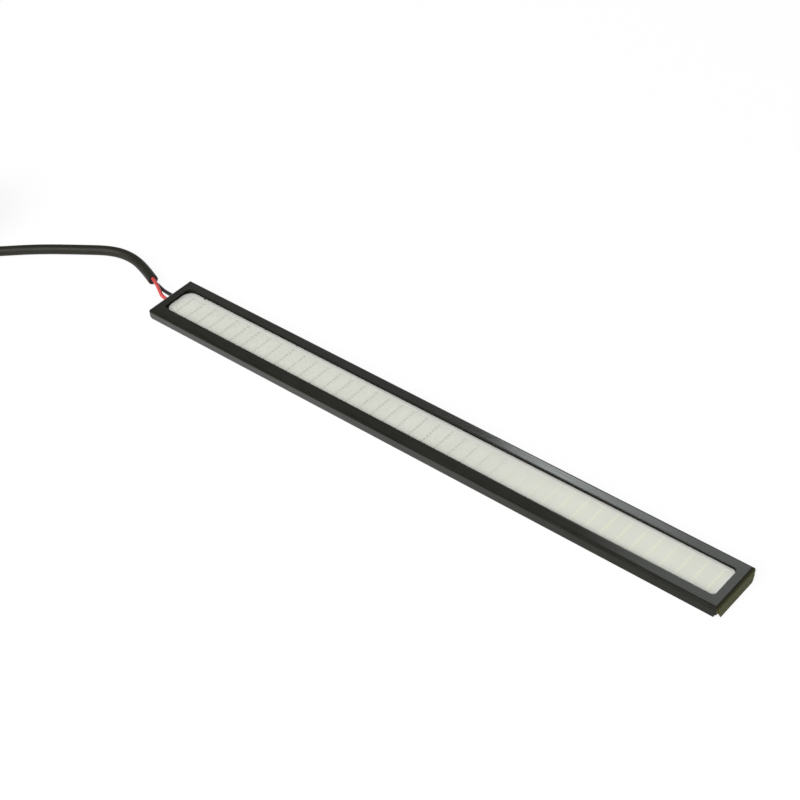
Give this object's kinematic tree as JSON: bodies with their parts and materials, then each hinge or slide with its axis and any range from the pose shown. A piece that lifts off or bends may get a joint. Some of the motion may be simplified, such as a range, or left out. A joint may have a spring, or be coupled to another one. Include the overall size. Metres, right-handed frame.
{
  "type": "daytime running light",
  "caption": "Slim LED daytime running light: a long pale LED strip in a black folded aluminium bezel, with adhesive tape on its back and a round black cable.",
  "frame": {"origin": "under the middle of the lamp, without its cable, on the surface that its tape lies on", "axes": "+X along the lamp from the wire end to the plain end, +Z out of the lit face"},
  "size_m": [0.2652, 0.0354, 0.0145],
  "materials": {
    "bezel_black": "black anodised, satin",
    "board_white": "white solder mask",
    "die_tan": "satin",
    "silicone": "glossy, milky",
    "resistor_black": "matt",
    "tinned": "tinned, satin",
    "sealant_black": "satin",
    "foam_grey": "closed-cell foam",
    "liner_red": "plain film",
    "wire_red": "satin",
    "wire_black": "satin",
    "sheath_black": "satin",
    "tie_black": "satin"
  },
  "bodies": {
    "root": {"bezel": "bezel_black", "circuit_board": "board_white", "led_dies": "die_tan", "encapsulant": "silicone", "chip_resistors": "resistor_black", "lead_conductors": "tinned", "solder_joints": "tinned", "wire_potting": "sealant_black", "edge_seal": "sealant_black", "mounting_tape": "foam_grey", "tape_liner": "liner_red", "red_lead": "wire_red", "black_lead": "wire_black", "cable_sheath": "sheath_black", "cable_coil": "sheath_black", "cable_tie": "tie_black", "red_tail": "wire_red", "black_tail": "wire_black", "red_tail_tip": "tinned", "black_tail_tip": "tinned"}
  },
  "joints": []
}
